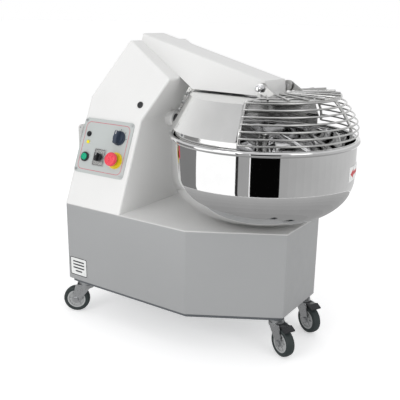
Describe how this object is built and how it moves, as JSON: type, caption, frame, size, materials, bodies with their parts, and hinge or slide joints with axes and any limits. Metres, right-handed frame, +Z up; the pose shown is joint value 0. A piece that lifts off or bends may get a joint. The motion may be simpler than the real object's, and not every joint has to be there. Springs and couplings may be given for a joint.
{
  "type": "commercial dough mixer",
  "caption": "Floor-standing dough mixer: rotating stainless bowl, inclined two-prong fork, tall leaning column with controls, hinged wire guard and swivel casters.",
  "frame": {"origin": "centre of the machine's outline at floor level; the bowl axis is parallel to Z, 145.7 mm towards -Y of it", "axes": "+Z up; the bowl end faces -Y, the column stands at +Y and the control panel is on the -X side"},
  "size_m": [0.515, 0.8064, 0.832],
  "materials": {
    "painted_grey": "satin textured grey-white enamel",
    "painted_tray": "satin dark grey",
    "stainless_polished": "polished stainless steel",
    "stainless_mirror": "mirror-polished stainless steel",
    "stainless_wire": "bright drawn wire",
    "chrome": "bright chrome",
    "zinc": "zinc plated",
    "cast_body": "painted casting",
    "machined_steel": "machined",
    "belt_rubber": "matt black rubber",
    "tyre": "matt dark tread",
    "black_plastic": "matt black",
    "red_plastic": "semi-gloss red",
    "yellow_plastic": "semi-gloss yellow",
    "green_plastic": "semi-gloss green",
    "blue_black_plastic": "matt blue-black",
    "panel": "printed light grey plate",
    "lens": "amber lens",
    "sticker": "printed film",
    "gland": "grey nylon"
  },
  "bodies": {
    "frame": {"base_shell": "painted_grey", "base_tray": "painted_tray", "column_shell": "painted_grey", "rear_cover": "painted_grey", "cover_screws": "zinc", "switch_boss": "painted_grey", "black_plugs": "black_plastic", "head_cover": "painted_grey", "head_frame": "painted_tray", "hinge_lugs": "stainless_polished", "fixed_guard": "stainless_polished", "guard_flanges": "stainless_polished", "guard_bolts": "zinc", "motor": "cast_body", "fork_gearbox": "cast_body", "bowl_gearbox": "cast_body", "fork_seal": "black_plastic", "bowl_bearing": "cast_body", "fork_belt": "belt_rubber", "bowl_belt": "belt_rubber", "control_plate": "panel", "panel_screws": "zinc", "estop_collar": "yellow_plastic", "switch_bezels": "black_plastic", "rotary_base": "blue_black_plastic", "selector_plate": "panel", "status_light": "lens", "control_box": "painted_tray", "cable_gland": "gland", "label_plate": "sticker", "caster_stems": "zinc"},
    "bowl": {"bowl": "stainless_mirror", "bowl_foot": "stainless_polished", "bowl_post": "stainless_polished", "arrow_sticker": "sticker", "bowl_spindle": "machined_steel"},
    "fork": {"fork": "stainless_polished", "fork_shaft": "machined_steel"},
    "fork_input": {"fork_input": "machined_steel"},
    "bowl_input": {"bowl_input": "machined_steel"},
    "motor_drive": {"motor_drive": "machined_steel"},
    "guard": {"wire_guard": "stainless_wire", "guard_top_band": "stainless_polished", "guard_pivots": "chrome"},
    "estop": {"estop_button": "red_plastic", "estop_stem": "black_plastic"},
    "start": {"start_button": "green_plastic"},
    "reset": {"reset_button": "black_plastic"},
    "rotary": {"rotary_knob": "blue_black_plastic"},
    "selector": {"selector_knob": "black_plastic"},
    "caster_front_left": {"caster_bracket_front_left": "zinc"},
    "wheel_front_left": {"caster_wheel_front_left": "tyre"},
    "pedal_front_left": {"brake_pedal_front_left": "black_plastic"},
    "caster_front_right": {"caster_bracket_front_right": "zinc"},
    "wheel_front_right": {"caster_wheel_front_right": "tyre"},
    "pedal_front_right": {"brake_pedal_front_right": "black_plastic"},
    "caster_rear_left": {"caster_bracket_rear_left": "zinc"},
    "wheel_rear_left": {"caster_wheel_rear_left": "tyre"},
    "caster_rear_right": {"caster_bracket_rear_right": "zinc"},
    "wheel_rear_right": {"caster_wheel_rear_right": "tyre"}
  },
  "joints": [
    {"name": "bowl_spin", "type": "hinge", "parent": "frame", "child": "bowl", "pos_m": [0, -0.14569, 0.36], "axis": [0, 0, 1], "continuous": true},
    {"name": "fork_spin", "type": "hinge", "parent": "frame", "child": "fork", "pos_m": [0.11, 0.1443, 0.655], "axis": [0, -0.866, -0.5], "continuous": true},
    {"name": "bowl_input_spin", "type": "hinge", "parent": "frame", "child": "bowl_input", "pos_m": [-0.095, -0.14569, 0.235], "axis": [1, 0, 0], "continuous": true},
    {"name": "fork_input_spin", "type": "hinge", "parent": "frame", "child": "fork_input", "pos_m": [0.01, 0.22398, 0.701], "axis": [1, 0, 0], "continuous": true},
    {"name": "motor_spin", "type": "hinge", "parent": "frame", "child": "motor_drive", "pos_m": [0, 0.2843, 0.235], "axis": [1, 0, 0], "continuous": true},
    {"name": "guard_lift", "type": "hinge", "parent": "frame", "child": "guard", "pos_m": [-0.00404, -0.17744, 0.709], "axis": [-0.992, 0.1262, 0], "range_deg": [0, 78]},
    {"name": "estop_press", "type": "slide", "parent": "frame", "child": "estop", "axis": [0.9253, 0, -0.3794], "range_m": [0, 0.004], "stiffness_N_per_m": 600},
    {"name": "start_press", "type": "slide", "parent": "frame", "child": "start", "axis": [0.9253, 0, -0.3794], "range_m": [0, 0.003], "stiffness_N_per_m": 400},
    {"name": "reset_press", "type": "slide", "parent": "frame", "child": "reset", "axis": [0.9253, 0, -0.3794], "range_m": [0, 0.002], "stiffness_N_per_m": 400},
    {"name": "rotary_turn", "type": "hinge", "parent": "frame", "child": "rotary", "pos_m": [-0.15667, 0.23361, 0.54635], "axis": [0.9253, 0, -0.3794], "range_deg": [0, 90]},
    {"name": "selector_turn", "type": "hinge", "parent": "frame", "child": "selector", "pos_m": [-0.18103, 0.29191, 0.48694], "axis": [0.9253, 0, -0.3794], "range_deg": [-45, 45]},
    {"name": "swivel_front_left", "type": "hinge", "parent": "frame", "child": "caster_front_left", "pos_m": [-0.084, -0.2557, 0.085], "axis": [0, 0, 1], "continuous": true},
    {"name": "roll_front_left", "type": "hinge", "parent": "caster_front_left", "child": "wheel_front_left", "pos_m": [-0.09803, -0.28446, 0.04], "axis": [-0.8988, 0.4384, 0], "continuous": true},
    {"name": "pedal_front_left", "type": "hinge", "parent": "caster_front_left", "child": "pedal_front_left", "pos_m": [-0.09606, -0.28041, 0.085], "axis": [0.8988, -0.4384, 0], "range_deg": [0, 10]},
    {"name": "swivel_front_right", "type": "hinge", "parent": "frame", "child": "caster_front_right", "pos_m": [0.084, -0.2557, 0.085], "axis": [0, 0, 1], "continuous": true},
    {"name": "roll_front_right", "type": "hinge", "parent": "caster_front_right", "child": "wheel_front_right", "pos_m": [0.06997, -0.28446, 0.04], "axis": [-0.8988, 0.4384, 0], "continuous": true},
    {"name": "pedal_front_right", "type": "hinge", "parent": "caster_front_right", "child": "pedal_front_right", "pos_m": [0.07194, -0.28041, 0.085], "axis": [0.8988, -0.4384, 0], "range_deg": [0, 10]},
    {"name": "swivel_rear_left", "type": "hinge", "parent": "frame", "child": "caster_rear_left", "pos_m": [-0.203, 0.33631, 0.085], "axis": [0, 0, 1], "continuous": true},
    {"name": "roll_rear_left", "type": "hinge", "parent": "caster_rear_left", "child": "wheel_rear_left", "pos_m": [-0.219, 0.36402, 0.04], "axis": [0.866, 0.5, 0], "continuous": true},
    {"name": "swivel_rear_right", "type": "hinge", "parent": "frame", "child": "caster_rear_right", "pos_m": [0.203, 0.33631, 0.085], "axis": [0, 0, 1], "continuous": true},
    {"name": "roll_rear_right", "type": "hinge", "parent": "caster_rear_right", "child": "wheel_rear_right", "pos_m": [0.187, 0.36402, 0.04], "axis": [0.866, 0.5, 0], "continuous": true}
  ],
  "couplings": [
    {"joint": "bowl_input_spin", "follows": "bowl_spin", "ratio": 2},
    {"joint": "motor_spin", "follows": "bowl_spin", "ratio": 7.2},
    {"joint": "fork_input_spin", "follows": "bowl_spin", "ratio": 3.4615},
    {"joint": "fork_spin", "follows": "bowl_spin", "ratio": 2.3077}
  ]
}
